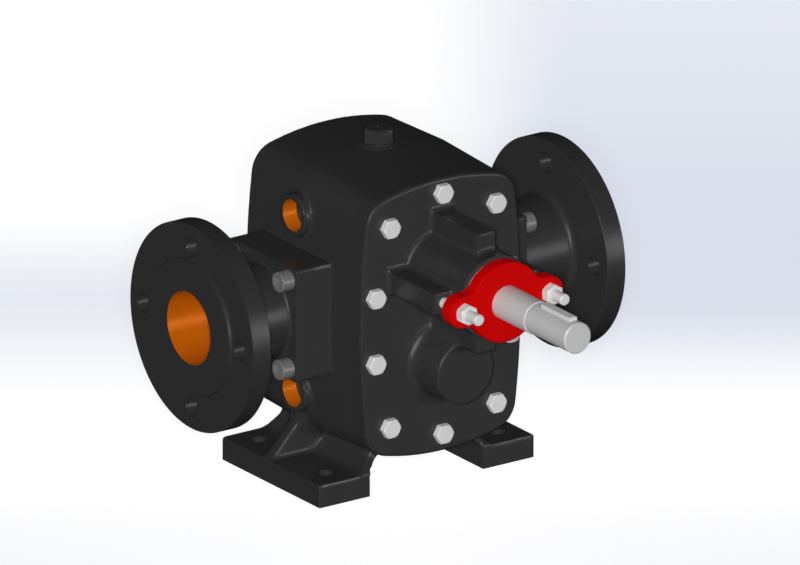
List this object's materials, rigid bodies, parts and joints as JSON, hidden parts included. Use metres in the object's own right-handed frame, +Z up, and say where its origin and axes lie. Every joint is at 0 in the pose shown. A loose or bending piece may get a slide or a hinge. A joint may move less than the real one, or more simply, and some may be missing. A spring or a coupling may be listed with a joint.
{
  "type": "helical gear pump",
  "caption": "Foot-mounted helical gear pump: black cast casing, bolt-on port flanges each side, packed shaft seal with a red gland, keyed shaft end.",
  "frame": {"origin": "centre of the foot bolt pattern, on the plane of the foot bases, below the port axis", "axes": "+X along the port axis from the left port to the right port as seen from the shaft end, -Y towards the keyed shaft end, +Z up"},
  "size_m": [0.393, 0.3935, 0.3025],
  "materials": {
    "black_iron": "satin charcoal paint",
    "red_iron": "satin red paint",
    "steel": "bright zinc",
    "screw_steel": "plain steel",
    "shaft_steel": "ground steel",
    "bronze": "machined bronze",
    "gasket": "matt sheet",
    "packing": "braided, greased"
  },
  "bodies": {
    "housing": {"casing": "black_iron", "front_cover": "black_iron", "cover_gasket": "gasket", "cover_bolts": "steel", "cover_dowels": "steel", "suction_flange": "black_iron", "discharge_flange": "black_iron", "suction_gasket": "gasket", "discharge_gasket": "gasket", "suction_cap_screws": "screw_steel", "discharge_cap_screws": "screw_steel", "vent_plug": "black_iron", "vent_washer": "steel", "rear_drive_bearing": "bronze", "rear_idler_bearing": "bronze", "front_drive_bearing": "bronze", "front_idler_bearing": "bronze", "drive_thrust_pad": "bronze", "idler_thrust_pad": "bronze", "throat_bush": "bronze", "packing_rings": "packing", "lantern_ring": "bronze", "gland_studs": "steel"},
    "gland": {"gland_flange": "red_iron", "gland_bush": "steel", "gland_nuts": "steel"},
    "drive_rotor": {"drive_shaft": "shaft_steel", "drive_gear": "shaft_steel", "drive_gear_key": "steel", "drive_retaining_rings": "steel", "coupling_key": "steel"},
    "idler_rotor": {"idler_shaft": "shaft_steel", "idler_gear": "shaft_steel", "idler_gear_key": "steel", "idler_retaining_rings": "steel"}
  },
  "joints": [
    {"name": "drive_spin", "type": "hinge", "parent": "housing", "child": "drive_rotor", "pos_m": [0, 0, 0.201], "axis": [0, 1, 0], "continuous": true},
    {"name": "idler_spin", "type": "hinge", "parent": "housing", "child": "idler_rotor", "pos_m": [0, 0, 0.11899], "axis": [0, 1, 0], "continuous": true},
    {"name": "gland_take_up", "type": "slide", "parent": "housing", "child": "gland", "axis": [0, 1, 0], "range_m": [0, 0.0025]}
  ],
  "couplings": [
    {"joint": "idler_spin", "follows": "drive_spin", "ratio": -1}
  ]
}
